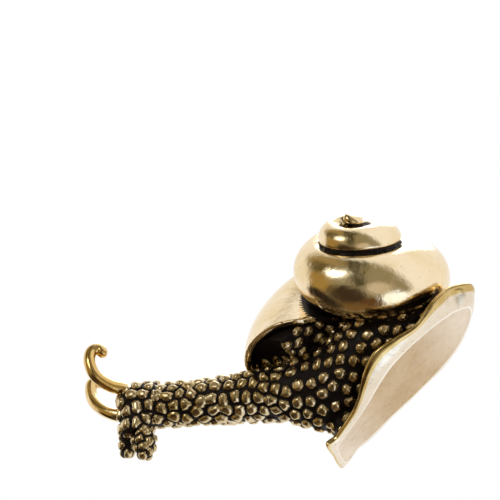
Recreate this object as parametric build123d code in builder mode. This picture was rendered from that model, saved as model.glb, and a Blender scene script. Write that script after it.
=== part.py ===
from build123d import *
import os
from math import atan2, cos, degrees, log, pi, radians, sin, sqrt, tan

# Cast brass snail figurine, in millimetres.
# The flat sole lies on Z = 0 with its middle at the origin, the head looks along +X,
# the snail's left side is +Y, and up is +Z.

# Foot: a thin leaf whose edge turns up into a waved rim
sole_length = 26.4
sole_width = 14.2
rim_length = 30.4
rim_width = 19.6
rim_shift = 1.1
rim_height = 3.4
rim_low_height = 1.3
sheet_thickness = 0.9

# Trunk: the mass that rises from the foot and leans forward into the neck
trunk_length = 25.0
trunk_height = 12.6
trunk_width = 12.8
apron_height = 6.5
apron_inset = 3.2
apron_gap = 0.2

# Neck and head
neck_root_diameter = 7.4
neck_diameter = 5.7
neck_length = 16.1
neck_pitch = 45.0
head_diameter = 5.7
head_turn = 34.0
head_roll = 26.0
muzzle_turn = 20.0
muzzle_droop = 38.0
muzzle_length = 4.9
muzzle_diameter = 4.1

# Two mouth lobes under the muzzle and two hooked tentacles on the crown
lobe_length = 2.6
lobe_diameter = 2.2
lobe_tip_diameter = 1.3
lobe_spacing = 2.5
tentacle_root_diameter = 1.6
tentacle_diameter = 1.4
tentacle_tip_diameter = 1.7
tentacle_hook = 2.3
tentacle_left_height = 9.6
tentacle_left_reach = 2.0
tentacle_left_spread = 2.8
tentacle_right_height = 8.6
tentacle_right_reach = 1.3
tentacle_right_spread = 3.3

# Shell: one tapering tube wound round a leaning axis, larger by one factor each turn
shell_radius = 17.2
shell_growth = 1.89
shell_climb = 1.05
tube_share = 0.45
shell_whorls = 4
mouth_flare_share = 0.12
mouth_flare_angle = 210.0
shell_wall = 0.9
mouth_angle = 392.0
bore_angle = 50.0
core_diameter = 1.2
apex_diameter = 2.4
shell_top_back = 7.8
shell_top_left = 9.0
shell_top_rise = 14.8
shell_axis = Vector(-0.49, 0.61, 0.63)
shell_start = Vector(0.835, 0.114, 0.538)
mouth_face = Vector(0.56, 0.42, -0.71)

# Pebbles: low domes raised on the skin of the trunk and neck, in staggered rows
pebble_diameter = 1.7
pebble_rise = 0.4
pebble_clearance = 0.12
neck_pebble_spacing = 2.0
trunk_pebble_spacing = 2.3

# Depth by which a cut runs past the face that it opens
overrun = 1.0

os.makedirs("parts", exist_ok=True)


# Foot
# Plan outlines as shares of half the length and half the width, tail first,
# along the left side to the front and back along the right side.
sole_left_shares = [(-1.0, 0.0), (-0.80, 0.50), (-0.30, 0.93), (0.14, 0.82), (0.62, 0.40), (0.93, 0.38)]
sole_right_shares = [(1.0, -0.55), (0.80, -0.54), (0.28, -0.78), (-0.42, -1.0), (-0.84, -0.75)]
rim_left_shares = [(-1.0, 0.05), (-0.83, 0.56), (-0.32, 0.93), (0.10, 0.86), (0.60, 0.42), (0.90, 0.40)]
rim_right_shares = [(1.0, -0.62), (0.78, -0.60), (0.26, -0.84), (-0.42, -1.0), (-0.84, -0.70)]
# Crest of the rim from tail to front: the place as a share of half the rim's length, and
# the height as a share of the way from the low height to the full one
rim_wave_shares = [
    (-1.15, 0.40),
    (-0.85, 0.75),
    (-0.50, 0.05),
    (-0.06, 0.90),
    (0.36, 0.05),
    (0.80, 0.0),
    (1.15, 0.10),
]


def outline(shares, length, width, shift, inset):
    """Points of a plan outline, moved back by the shift and drawn in by the inset."""
    half_long = length / 2 - inset
    half_wide = width / 2 - inset
    return [(x * half_long - shift, y * half_wide) for x, y in shares]


def sole_outline(inset):
    """The flat sole's outline, drawn in by the inset."""
    return outline(sole_left_shares + sole_right_shares, sole_length, sole_width, 0.0, inset)


def rim_outline(inset):
    """The rim's outline at full height, drawn in by the inset."""
    return outline(rim_left_shares + rim_right_shares, rim_length, rim_width, rim_shift, inset)


def closed_face(plane, points):
    """Face inside a smooth closed curve through the points."""
    with BuildSketch(plane) as face:
        with BuildLine():
            Spline(*points, periodic=True)
        make_face()
    return face.sketch


sole_plane = Plane.XY
dish_plane = Plane.XY.offset(sheet_thickness)
rim_plane = Plane.XY.offset(rim_height)

with BuildPart() as foot:
    loft([closed_face(sole_plane, sole_outline(0.0)), closed_face(rim_plane, rim_outline(0.0))])
    # the dish inside the turned-up edge
    dish_bottom = closed_face(dish_plane, sole_outline(sheet_thickness))
    dish_top = closed_face(rim_plane, rim_outline(sheet_thickness))
    loft([dish_bottom, dish_top], mode=Mode.SUBTRACT)
    # the waved top of the rim
    wave = []
    for along, up in rim_wave_shares:
        height = rim_low_height + up * (rim_height - rim_low_height)
        wave.append((along * rim_length / 2 - rim_shift, height))
    with BuildSketch(Plane.XZ):
        with BuildLine():
            crest = Spline(*wave)
            top = rim_height + overrun
            Polyline(crest @ 1, (wave[-1][0], top), (wave[0][0], top), crest @ 0)
        make_face()
    extrude(amount=rim_width, both=True, mode=Mode.SUBTRACT)
foot.part.label = "foot"


# Trunk
# Stations along a bent spine: place, height, pitch in degrees, half width and half depth,
# the place as a share of the way from the tail in the foot's dish to the neck's root, and
# the others as shares of the trunk's height, half width and height.
trunk_shares = [
    (0.0, 0.13, 0, 0.16, 0.06),
    (0.127, 0.27, 10, 0.70, 0.22),
    (0.353, 0.42, 18, 0.97, 0.37),
    (0.579, 0.52, 28, 0.96, 0.47),
    (0.795, 0.61, 39, 0.76, 0.47),
    (0.908, 0.79, 43, 0.63, 0.365),
]
trunk_front_share = 0.49
trunk_front_place = trunk_front_share * trunk_length
trunk_tail_place = sheet_thickness + apron_gap - sole_length / 2
oval_points = 10


def across(x, z, pitch):
    """Plane square to a spine that climbs by the pitch, its own y axis upward."""
    angle = radians(pitch)
    return Plane(origin=(x, 0, z), x_dir=(0, 1, 0), z_dir=(cos(angle), 0, sin(angle)))


def oval(half_wide, half_deep):
    """Points round a closed oval section."""
    points = []
    for step in range(oval_points):
        turn = 2 * pi * step / oval_points
        points.append((half_wide * cos(turn), half_deep * sin(turn)))
    return points


def trunk_place(share):
    """Place along the foot, at a share of the way from the trunk's tail to its front."""
    return trunk_tail_place + share * (trunk_front_place - trunk_tail_place)


trunk_front = across(trunk_front_place, trunk_height, neck_pitch)
neck_root_radius = neck_root_diameter / 2

trunk_sections = []
for x, z, pitch, wide, deep in trunk_shares:
    station = across(trunk_place(x), z * trunk_height, pitch)
    trunk_sections.append(closed_face(station, oval(wide * trunk_width / 2, deep * trunk_height)))
trunk_sections.append(closed_face(trunk_front, oval(neck_root_radius, neck_root_radius)))
apron_bottom = closed_face(dish_plane, sole_outline(sheet_thickness + apron_gap))
apron_top = closed_face(Plane.XY.offset(apron_height), sole_outline(sheet_thickness + apron_inset))

with BuildPart() as trunk_back:
    loft(trunk_sections)
with BuildPart() as trunk_apron:
    loft([apron_bottom, apron_top])

with BuildPart() as trunk:
    add(trunk_back.part)
    split(bisect_by=trunk_front, keep=Keep.BOTTOM)
    # the apron that spreads over the foot's dish
    add(trunk_apron.part)
    add(foot.part, mode=Mode.SUBTRACT)


# Neck
# Stations along the neck, and how much of the root's swell is left there
neck_shares = [(0.0, 1.0), (0.35, 0.18), (0.70, -0.02), (1.0, -0.08)]
neck_end = trunk_front.offset(neck_length)

with BuildPart() as neck:
    for along, swell in neck_shares:
        with BuildSketch(trunk_front.offset(along * neck_length)):
            Circle((neck_diameter + swell * (neck_root_diameter - neck_diameter)) / 2)
    loft()


# Head: a ball on the neck's end, and a muzzle that droops and is turned and rolled to the left
head_seat_share = 0.42
collar_share = 0.98
muzzle_root_share = 0.94
muzzle_wide_share = 1.12
muzzle_flat_share = 0.88

head_seat = neck_end.offset(head_seat_share * head_diameter)
head_middle = head_seat.origin
up_way = Vector(0, 0, 1)
face_way = Vector(cos(radians(head_turn)), sin(radians(head_turn)), 0)
side_way = up_way.cross(face_way)
droop = radians(muzzle_droop)
roll = radians(head_roll)
level_way = Vector(cos(radians(muzzle_turn)), sin(radians(muzzle_turn)), 0)
muzzle_way = level_way * cos(droop) - up_way * sin(droop)
level_crown = level_way * sin(droop) + up_way * cos(droop)
left_way = level_crown.cross(muzzle_way) * cos(roll) - level_crown * sin(roll)
crown_way = muzzle_way.cross(left_way)
muzzle_root = Plane(origin=head_middle, x_dir=left_way, z_dir=muzzle_way)

with BuildPart() as head:
    with Locations(head_middle):
        Sphere(head_diameter / 2)
    with BuildSketch(neck_end):
        Circle(neck_diameter / 2)
    with BuildSketch(head_seat):
        Circle(collar_share * head_diameter / 2)
    loft()
    with BuildSketch(muzzle_root):
        Circle(muzzle_root_share * head_diameter / 2)
    with BuildSketch(muzzle_root.offset(muzzle_length)):
        Ellipse(muzzle_wide_share * muzzle_diameter / 2, muzzle_flat_share * muzzle_diameter / 2)
    loft()
    split(bisect_by=neck_end, keep=Keep.TOP)
head.part.label = "head"


# Mouth lobes: how far each is sunk in the muzzle, splayed out and dropped, and its middle
lobe_sink_share = 0.33
lobe_splay_share = 0.25
lobe_drop_share = 0.12
lobe_middle_share = 0.55
lobe_waist_share = 0.92


def lobe_plane(side, along):
    """Plane square to one lobe, at a distance from its root."""
    way = muzzle_way + left_way * (side * lobe_splay_share) - crown_way * lobe_drop_share
    sunk = muzzle_length - lobe_sink_share * lobe_diameter
    root = head_middle + muzzle_way * sunk + left_way * (side * lobe_spacing / 2)
    return Plane(origin=root + way.normalized() * along, x_dir=left_way, z_dir=way)


def mouth_lobe(side):
    """One short tapering lobe, closed against the muzzle."""
    with BuildPart() as lobe:
        with BuildSketch(lobe_plane(side, -lobe_sink_share * lobe_diameter)):
            Circle(lobe_diameter / 2)
        with BuildSketch(lobe_plane(side, lobe_middle_share * lobe_length)):
            Circle(lobe_waist_share * lobe_diameter / 2)
        with BuildSketch(lobe_plane(side, lobe_length)):
            Circle(lobe_tip_diameter / 2)
        loft()
        with Locations(lobe_plane(side, lobe_length).origin):
            Sphere(lobe_tip_diameter / 2)
        add(head.part, mode=Mode.SUBTRACT)
    return lobe


mouth_lobe_left = mouth_lobe(1)
with BuildPart() as mouth_lobe_right:
    add(mouth_lobe(-1).part)
    add(mouth_lobe_left.part, mode=Mode.SUBTRACT)
mouth_lobe_left.part.label = "mouth_lobe_left"
mouth_lobe_right.part.label = "mouth_lobe_right"


# Tentacles
# Rise of the shaft, in shares of the reach ahead, the spread outward and the height above
# the head's middle, then the hook, in shares of its own size back from and down from the top.
shaft_shares = [(0.36, 0.34, 0.12), (0.90, 0.62, 0.40)]
hook_shares = [(0.0, 1.15), (0.12, 0.40), (0.58, 0.0), (1.02, 0.36), (1.00, 0.85)]
tentacle_rings = 14
corner_share = 0.45


def corner_radii(route):
    """Radius of each corner, as large as its two runs allow."""
    radii = []
    for before, corner, after in zip(route, route[1:], route[2:]):
        run_in = corner - before
        run_out = after - corner
        turn = radians(run_in.get_angle(run_out))
        radii.append(corner_share * min(run_in.length, run_out.length) / tan(turn / 2))
    return radii


def bent_rod(side, height, reach, spread):
    """One bent rod with a rounded tip, closed against the crown."""
    route = []
    for ahead, out, rise in shaft_shares:
        level = face_way * (ahead * reach) + side_way * (side * out * spread)
        route.append(head_middle + level + up_way * (rise * height))
    top = head_middle + face_way * reach + side_way * (side * spread) + up_way * height
    for back, down in hook_shares:
        route.append(top - face_way * (back * tentacle_hook) - up_way * (down * tentacle_hook))
    with BuildPart() as tentacle:
        with BuildLine() as bend:
            FilletPolyline(*route, radius=corner_radii(route))
        for step in range(tentacle_rings + 1):
            along = step / tentacle_rings
            taper = along * (tentacle_diameter - tentacle_root_diameter)
            with BuildSketch(Plane(origin=bend.line @ along, x_dir=side_way, z_dir=bend.line % along)):
                Circle((tentacle_root_diameter + taper) / 2)
        loft()
        with Locations(bend.line @ 1):
            Sphere(tentacle_tip_diameter / 2)
        add(head.part, mode=Mode.SUBTRACT)
    return tentacle


tentacle_left = bent_rod(1, tentacle_left_height, tentacle_left_reach, tentacle_left_spread)
tentacle_right = bent_rod(-1, tentacle_right_height, tentacle_right_reach, tentacle_right_spread)
tentacle_left.part.label = "tentacle_left"
tentacle_right.part.label = "tentacle_right"


# Shell
# The half profile of every whorl, in a plane that holds the axis, is a chain of arcs from
# suture to suture. The tube's arm is its middle's distance from the axis.
seat_x_share, seat_z_share = trunk_shares[2][:2]
shell_top = (
    trunk_place(seat_x_share) - shell_top_back,
    shell_top_left,
    seat_z_share * trunk_height + shell_top_rise,
)
shell_frame = Plane(origin=shell_top, x_dir=shell_start, z_dir=shell_axis)
arm_share = 1 - tube_share
hole_share = 0.118
mouth_low_bearing = -60.0


def shell_size(angle):
    """Outer radius of the winding at an angle round the axis."""
    plain = shell_radius * shell_growth ** ((angle - mouth_angle) / 360)
    near_mouth = max(0.0, 1 + (angle - mouth_angle) / mouth_flare_angle)
    return plain * (1 + mouth_flare_share * near_mouth ** 2)


def axis_plane(angle):
    """Plane through the axis: x away from it, y along it towards the top."""
    turn = radians(angle)
    away = shell_frame.x_dir * cos(turn) + shell_frame.y_dir * sin(turn)
    return Plane(origin=shell_frame.origin, x_dir=away, z_dir=away.cross(shell_frame.z_dir))


def on_ring(size, bearing):
    """Point of one whorl's ring, at a bearing in degrees from straight outward."""
    turn = radians(bearing)
    return (
        size * (arm_share + tube_share * cos(turn)),
        size * (-shell_climb + tube_share * sin(turn)),
    )


def bearing_of(size, point):
    """Bearing in degrees of a point seen from the middle of one whorl's ring."""
    return degrees(atan2(point[1] + shell_climb * size, point[0] - arm_share * size))


def suture(large, small):
    """Point where the rings of two neighbouring whorls cross on the outside."""
    shrink = large - small
    span = shrink * sqrt(arm_share ** 2 + shell_climb ** 2)
    large_ring = large * tube_share
    small_ring = small * tube_share
    along = (large_ring ** 2 - small_ring ** 2 + span ** 2) / (2 * span)
    aside = sqrt(large_ring ** 2 - along ** 2)
    line = Vector(-arm_share, shell_climb).normalized()
    crossing = line * along + Vector(line.Y, -line.X) * aside
    return (large * arm_share + crossing.X, -large * shell_climb + crossing.Y)


def whorl_section(angle):
    """Face of all whorls on one side of the axis."""
    # the section stops short of the axis, inside the core
    hole = hole_share * shell_size(mouth_angle - 360 * (shell_whorls - 1))
    sizes = [shell_size(angle - 360 * turn) for turn in range(shell_whorls)]
    widest = sizes[0]
    smallest = sizes[-1]
    rise = sqrt((smallest * tube_share) ** 2 - (smallest * arm_share - hole) ** 2)
    start = (hole, rise - smallest * shell_climb)
    inner = on_ring(widest, 180)
    joins = [start]
    for turn in range(shell_whorls - 1, 0, -1):
        joins.append(suture(sizes[turn - 1], sizes[turn]))
    joins.append(on_ring(widest, mouth_low_bearing))
    with BuildSketch(axis_plane(angle)) as section:
        with BuildLine():
            for size, first, last in zip(reversed(sizes), joins, joins[1:]):
                middle = (bearing_of(size, first) + bearing_of(size, last)) / 2
                ThreePointArc(first, on_ring(size, middle), last)
            ThreePointArc(joins[-1], on_ring(widest, (mouth_low_bearing - 180) / 2), inner)
            Polyline(inner, (hole, inner[1]), start)
        make_face()
    return section.sketch


def ring_plane(angle):
    """Plane square to the tube, its x axis away from the shell's axis."""
    size = shell_size(angle)
    turn = radians(angle)
    rate = log(shell_growth) / (2 * pi)
    away = shell_frame.x_dir * cos(turn) + shell_frame.y_dir * sin(turn)
    round_way = shell_frame.y_dir * cos(turn) - shell_frame.x_dir * sin(turn)
    middle = shell_frame.origin + away * (arm_share * size) - shell_frame.z_dir * (shell_climb * size)
    ahead = round_way * arm_share + (away * arm_share - shell_frame.z_dir * shell_climb) * rate
    return Plane(origin=middle, x_dir=away, z_dir=ahead)


# The mouth's rim lies in a slanted plane over the root of the neck, so that the opening
# faces forward, down and left. The place is in shares of the root's radius.
mouth_ahead_share = 0.18
mouth_above_share = 1.35
mouth_rim = trunk_front.origin + Vector(mouth_ahead_share, 0, mouth_above_share) * neck_root_radius
mouth_plane = Plane(origin=mouth_rim, z_dir=mouth_face)

wedge_count = 4
wedge_angle = 360 / wedge_count
wedge_steps = 3
bore_overrun_angle = 4.0


def whorl_sections(first, last, steps):
    """Sections of all whorls from one angle to another."""
    return [whorl_section(first + (last - first) * step / steps) for step in range(steps + 1)]


def bore_rings(first, last, steps):
    """Circles of the bore inside the tube, from one angle to another."""
    rings = []
    for step in range(steps + 1):
        angle = first + (last - first) * step / steps
        with BuildSketch(ring_plane(angle)) as ring:
            Circle(shell_size(angle) * tube_share - shell_wall)
        rings.append(ring.sketch)
    return rings


with BuildPart() as shell_casting:
    # the last stretch before the mouth, bored out and trimmed
    loft(whorl_sections(mouth_angle, mouth_angle - wedge_angle, wedge_steps))
    bore = bore_rings(mouth_angle + bore_overrun_angle, mouth_angle - bore_angle, wedge_steps)
    loft(bore, mode=Mode.SUBTRACT)
    split(bisect_by=mouth_plane, keep=Keep.BOTTOM)
    for wedge in range(1, wedge_count):
        first = mouth_angle - wedge * wedge_angle
        loft(whorl_sections(first, first - wedge_angle, wedge_steps))
    # the middle of the winding, closed by a short core, and the button at the top
    core_low = shell_climb * shell_size(mouth_angle - wedge_angle)
    core_high = shell_climb * shell_size(mouth_angle - 360 * (shell_whorls - 1))
    with BuildSketch(shell_frame.offset(-core_low)):
        Circle(core_diameter / 2)
    extrude(amount=core_low - core_high)
    with Locations(shell_frame.offset(-core_high).origin):
        Sphere(apex_diameter / 2)
    # the seat on the snail's back
    for carrier in (foot, trunk, neck):
        add(carrier.part, mode=Mode.SUBTRACT)

# the neck may part a chip from the mouth's rim, which isn't kept
with BuildPart() as shell:
    add(shell_casting.part.solids().sort_by(SortBy.VOLUME)[-1])
shell.part.label = "shell"


# Pebbles of the skin
# Each row runs round a skin, half a pebble out of step with the row before it.
pebble_row_share = 0.87
crowding_share = 0.8
half_step_share = 0.5
pebble_radius = pebble_diameter / 2
ring_samples = 48


def chain_length(chain):
    """Length of a chain of points."""
    return sum((after - before).length for before, after in zip(chain, chain[1:]))


def pebble_row(side, along, spacing, stagger_share):
    """Points evenly spaced round one ring of a skin, each with the way it faces."""
    ring = [side.position_at(step / ring_samples, along) for step in range(ring_samples + 1)]
    around = chain_length(ring)
    count = round(around / spacing)
    row = []
    for number in range(count):
        target = around * (number + stagger_share) / count
        step = 0
        passed = 0.0
        while passed + (ring[step + 1] - ring[step]).length < target:
            passed += (ring[step + 1] - ring[step]).length
            step += 1
        part_way = (target - passed) / (ring[step + 1] - ring[step]).length
        point = side.position_at((step + part_way) / ring_samples, along)
        row.append((point, side.normal_at(point)))
    return row


def pebble_rows(side, spacing):
    """Staggered rows over a whole skin, clear of its two ends."""
    shares = [step / ring_samples for step in range(ring_samples + 1)]
    left_line = [side.position_at(0, share) for share in shares]
    right_line = [side.position_at(half_step_share, share) for share in shares]
    way_length = (chain_length(left_line) + chain_length(right_line)) / 2
    margin = (pebble_radius + 2 * pebble_clearance) / way_length
    rows = round((1 - 2 * margin) * way_length / (spacing * pebble_row_share))
    places = []
    for row in range(rows + 1):
        along = margin + (1 - 2 * margin) * row / rows
        places += pebble_row(side, along, spacing, half_step_share * (row % 2))
    return places


def pebble_places(core, skins, spacing, neighbours, near_pebbles):
    """Planes of the pebbles, faced outward, that stand clear of each other and of the neighbours."""
    reach = pebble_radius + pebble_clearance
    places = []
    taken = []
    for skin in skins:
        side = skin.faces().sort_by(SortBy.AREA)[-1]
        for point, facing in pebble_rows(side, spacing):
            middle = point - facing * (pebble_radius - pebble_rise)
            crowded = any((point - other).length < spacing * crowding_share for other in taken)
            touching = any((middle - other.origin).length < 2 * reach for other in near_pebbles)
            buried = core.part.is_inside(point + facing * pebble_clearance)
            if crowded or touching or buried:
                continue
            if all(piece.part.distance_to(middle) > reach for piece in neighbours):
                places.append(Plane(origin=middle, z_dir=facing))
                taken.append(point)
    return places


rigid_pieces = (foot, head, mouth_lobe_left, mouth_lobe_right, tentacle_left, tentacle_right, shell)
trunk_skins = (trunk_back, trunk_apron)
trunk_pebbles = pebble_places(trunk, trunk_skins, trunk_pebble_spacing, rigid_pieces + (neck,), [])
neck_pebbles = pebble_places(neck, (neck,), neck_pebble_spacing, rigid_pieces + (trunk,), trunk_pebbles)

with BuildPart() as pebbled_trunk:
    add(trunk.part)
    with Locations(*trunk_pebbles):
        Sphere(pebble_radius)
pebbled_trunk.part.label = "trunk"

with BuildPart() as pebbled_neck:
    add(neck.part)
    with Locations(*neck_pebbles):
        Sphere(pebble_radius)
pebbled_neck.part.label = "neck"

pieces = (pebbled_trunk, pebbled_neck) + rigid_pieces
for piece in pieces:
    export_step(piece.part, "parts/" + piece.part.label + ".step")
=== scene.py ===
import math

import bmesh
import bpy
import numpy as np
from mathutils import Matrix, Vector
from mathutils.kdtree import KDTree
from mathutils.noise import noise


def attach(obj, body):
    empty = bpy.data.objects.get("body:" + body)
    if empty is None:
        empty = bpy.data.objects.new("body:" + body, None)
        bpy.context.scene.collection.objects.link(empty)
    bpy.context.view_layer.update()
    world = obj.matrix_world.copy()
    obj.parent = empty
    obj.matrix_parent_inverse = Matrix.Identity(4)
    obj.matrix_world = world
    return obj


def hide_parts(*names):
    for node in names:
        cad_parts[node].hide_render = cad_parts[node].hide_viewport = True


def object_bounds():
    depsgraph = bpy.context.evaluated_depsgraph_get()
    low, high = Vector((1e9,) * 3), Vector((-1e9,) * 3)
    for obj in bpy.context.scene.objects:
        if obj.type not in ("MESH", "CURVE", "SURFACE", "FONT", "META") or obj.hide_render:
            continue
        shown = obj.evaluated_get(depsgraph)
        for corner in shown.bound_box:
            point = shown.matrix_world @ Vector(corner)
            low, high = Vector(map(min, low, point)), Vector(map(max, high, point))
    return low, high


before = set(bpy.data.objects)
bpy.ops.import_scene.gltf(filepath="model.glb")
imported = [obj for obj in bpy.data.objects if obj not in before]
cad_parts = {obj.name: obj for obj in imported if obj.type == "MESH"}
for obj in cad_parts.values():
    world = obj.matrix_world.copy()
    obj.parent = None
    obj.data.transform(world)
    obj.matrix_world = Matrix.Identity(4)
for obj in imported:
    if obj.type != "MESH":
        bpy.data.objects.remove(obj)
cad_low, cad_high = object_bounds()
mm = 0.001


# Camera
# A small casting shown from its left side and from below the sole, with the neck turned to
# the left of the picture. The view is parallel, as through a long lens.
bpy.context.scene.view_settings.view_transform = "Standard"
camera_elevation = math.radians(-22.0)
camera_roll = math.radians(-48.25)
camera_distance = 300 * mm
picture_width = 66.67 * mm
aim = Vector((0.3, 10.1, 25.0)) * mm

back = Vector((0, math.cos(camera_elevation), math.sin(camera_elevation)))
level_right = Vector((-1, 0, 0))
level_up = back.cross(level_right)
right = level_right * math.cos(camera_roll) + level_up * math.sin(camera_roll)
up = back.cross(right)
camera = bpy.data.objects.new("camera", bpy.data.cameras.new("camera"))
camera.data.type = "ORTHO"
camera.data.ortho_scale = picture_width
camera.data.clip_start = 1 * mm
camera.matrix_world = Matrix.Translation(aim + back * camera_distance) @ Matrix(
    (right, up, back)
).transposed().to_4x4()
bpy.context.collection.objects.link(camera)
bpy.context.scene.camera = camera


# Studio
# Polished brass shows its surroundings. The camera's side of the room is dim, with a dark
# stand and two soft lamps, and the rest is pale. The background seen by the camera is white.
tent_light = (1.0, 0.98, 0.95)
dim_light = (0.30, 0.26, 0.165)
stand_light = (0.08, 0.07, 0.036)
# Each pale side: the way to its middle, and the cosines at which it starts and is full
pale_sides = [
    (right * 0.75 + up * 0.43 - back * 0.50, 0.38, 0.54),
    (-back, 0.36, 0.64),
    (right * -0.82 + up * 0.15 - back * 0.55, 0.84, 0.95),
    (right * 0.69 - up * 0.58 - back * 0.42, 0.50, 0.66),
]
# Each shade of the dim side, likewise, with its light
shades = [
    (right * -0.99 + up * 0.04 + back * 0.13, 0.78, 0.95, (0.36, 0.24, 0.07)),
    (right * -0.44 + up * 0.85 - back * 0.28, 0.86, 0.96, (0.35, 0.26, 0.11)),
    (right * -0.72 + up * 0.69, 0.93, 0.985, (0.13, 0.10, 0.035)),
    (right * -0.17 - up * 0.94 + back * 0.31, 0.80, 0.95, (0.18, 0.11, 0.045)),
    (right * -0.49 - up * 0.49 + back * 0.72, 0.78, 0.95, (0.05, 0.032, 0.017)),
    (right * -0.77 - up * 0.60 - back * 0.18, 0.84, 0.95, (0.03, 0.02, 0.012)),
    (right * 0.19 - up * 0.79 + back * 0.58, 0.92, 0.985, (0.12, 0.06, 0.02)),
]
# The stand: the way square to it, how far off its plane it is full and ends, and how far
# up it starts and is full
stand_across = (right * 0.974 + up * 0.123 + back * 0.19).normalized()
stand_full = 0.08
stand_end = 0.20
stand_low = -0.10
stand_high = 0.15
# Each soft lamp's glow: the way to it, where it starts and is full, and its light
glows = [
    (right * -0.576 + up * 0.6215 + back * 0.531, 0.93, 0.98, (0.80, 0.78, 0.66)),
    (right * 0.312 - up * 0.104 + back * 0.944, 0.91, 0.98, (0.62, 0.54, 0.43)),
    (right * 0.606 - up * 0.559 + back * 0.566, 0.915, 0.975, (1.25, 1.40, 1.60)),
]


def add_node(tree, kind, inputs, **settings):
    """One node of a tree. Its inputs are values, or outputs of other nodes to link."""
    made = tree.nodes.new(kind)
    for name, value in settings.items():
        setattr(made, name, value)
    for socket, value in inputs.items():
        if isinstance(value, bpy.types.NodeSocket):
            tree.links.new(value, made.inputs[socket])
        else:
            made.inputs[socket].default_value = value
    return made


def math_node(tree, operation, *values):
    """The value of one sum, such as ADD or MULTIPLY."""
    inputs = dict(enumerate(values))
    return add_node(tree, "ShaderNodeMath", inputs, operation=operation).outputs[0]


def mixed_colour(tree, amount, below, above):
    """One colour laid over another by an amount."""
    inputs = {"Factor": amount, 6: below, 7: above}
    return add_node(tree, "ShaderNodeMix", inputs, data_type="RGBA").outputs[2]


def ramp_value(tree, value, low, high, start=0.0, end=1.0):
    """A value carried smoothly from one range to another and held at its ends."""
    inputs = {"Value": value, 1: low, 2: high, 3: start, 4: end}
    made = add_node(tree, "ShaderNodeMapRange", inputs, interpolation_type="SMOOTHSTEP")
    return made.outputs["Result"]


world = bpy.data.worlds.new("tent")
world.use_nodes = True
bpy.context.scene.world = world
tree = world.node_tree
tree.nodes.clear()
way = add_node(tree, "ShaderNodeTexCoord", {}).outputs["Generated"]


def toward(aim_way):
    """How nearly a way in the room points to a given one."""
    inputs = {0: way, 1: Vector(aim_way).normalized()}
    return add_node(tree, "ShaderNodeVectorMath", inputs, operation="DOT_PRODUCT").outputs["Value"]


def lit_side(room, side_way, start, full, light):
    """The room with one side of it lit: the way to it, and where it starts and is full."""
    amount = ramp_value(tree, toward(side_way), start, full)
    return mixed_colour(tree, amount, room, (*light, 1))


room = (*dim_light, 1)
for side_way, start, full, light in shades:
    room = lit_side(room, side_way, start, full, light)
off_stand = math_node(tree, "ABSOLUTE", toward(stand_across))
stand = ramp_value(tree, off_stand, stand_full, stand_end, 1.0, 0.0)
stand_rise = ramp_value(tree, toward(up), stand_low, stand_high)
stand = math_node(tree, "MULTIPLY", stand, stand_rise)
room = mixed_colour(tree, stand, room, (*stand_light, 1))
for side_way, start, full in pale_sides:
    room = lit_side(room, side_way, start, full, tent_light)
for side_way, start, full, light in glows:
    room = lit_side(room, side_way, start, full, light)
seen = add_node(tree, "ShaderNodeLightPath", {}).outputs["Is Camera Ray"]
lit = add_node(tree, "ShaderNodeBackground", {"Color": room}).outputs[0]
white = add_node(tree, "ShaderNodeBackground", {"Color": (1, 1, 1, 1)}).outputs[0]
mixed = add_node(tree, "ShaderNodeMixShader", {0: seen, 1: lit, 2: white}).outputs[0]
add_node(tree, "ShaderNodeOutputWorld", {"Surface": mixed})

# Each lamp: the way to it from the middle, its width and its power
lamps = {
    "key_lamp": (right * -0.576 + up * 0.6215 + back * 0.531, 100 * mm, 0.06),
    "back_lamp": ((-0.60, -0.80, 0.70), 150 * mm, 0.15),
}
lamp_distance = 260 * mm
middle = (cad_low + cad_high) / 2
for name, (lamp_way, width, power) in lamps.items():
    lamp = bpy.data.objects.new(name, bpy.data.lights.new(name, "AREA"))
    lamp.data.shape = "DISK"
    lamp.data.size = width
    lamp.data.energy = power
    lamp.location = middle + Vector(lamp_way).normalized() * lamp_distance
    lamp.rotation_mode = "QUATERNION"
    lamp.rotation_quaternion = Vector(lamp_way).to_track_quat("Z", "Y")
    bpy.context.collection.objects.link(lamp)

# The floor is pale and takes the figurine's shadow. From below it is clear, so that the sole
# shows.
floor_size = 3000 * mm
floor_drop = 0.05 * mm
paper_colour = (0.93, 0.93, 0.92)
half_floor = floor_size / 2
floor_corners = [
    (-half_floor, -half_floor, -floor_drop),
    (half_floor, -half_floor, -floor_drop),
    (half_floor, half_floor, -floor_drop),
    (-half_floor, half_floor, -floor_drop),
]
floor_mesh = bpy.data.meshes.new("floor")
floor_mesh.from_pydata(floor_corners, [], [(0, 1, 2, 3)])
floor = bpy.data.objects.new("floor", floor_mesh)
bpy.context.collection.objects.link(floor)
floor.visible_glossy = False
floor.visible_diffuse = False
floor.visible_transmission = False
floor.visible_shadow = False
paper = bpy.data.materials.new("paper")
paper.use_nodes = True
tree = paper.node_tree
tree.nodes.clear()
underside = add_node(tree, "ShaderNodeNewGeometry", {}).outputs["Backfacing"]
top_side = add_node(tree, "ShaderNodeBsdfDiffuse", {"Color": (*paper_colour, 1)}).outputs[0]
clear = add_node(tree, "ShaderNodeBsdfTransparent", {}).outputs[0]
mixed = add_node(tree, "ShaderNodeMixShader", {0: underside, 1: top_side, 2: clear}).outputs[0]
add_node(tree, "ShaderNodeOutputMaterial", {"Surface": mixed})
floor_mesh.materials.append(paper)


# Foot
# A leaf of cast brass whose edge is turned up and waved like a snail's sole. Its underside is
# tumbled to a pale grain with fine pits, its tan darkened as painted shade of the underside, and
# its rim is rubbed bright.
sheet_thickness = 0.9 * mm
rim_thickness = 1.25 * mm
sole_hollow = 0.12 * mm
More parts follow.
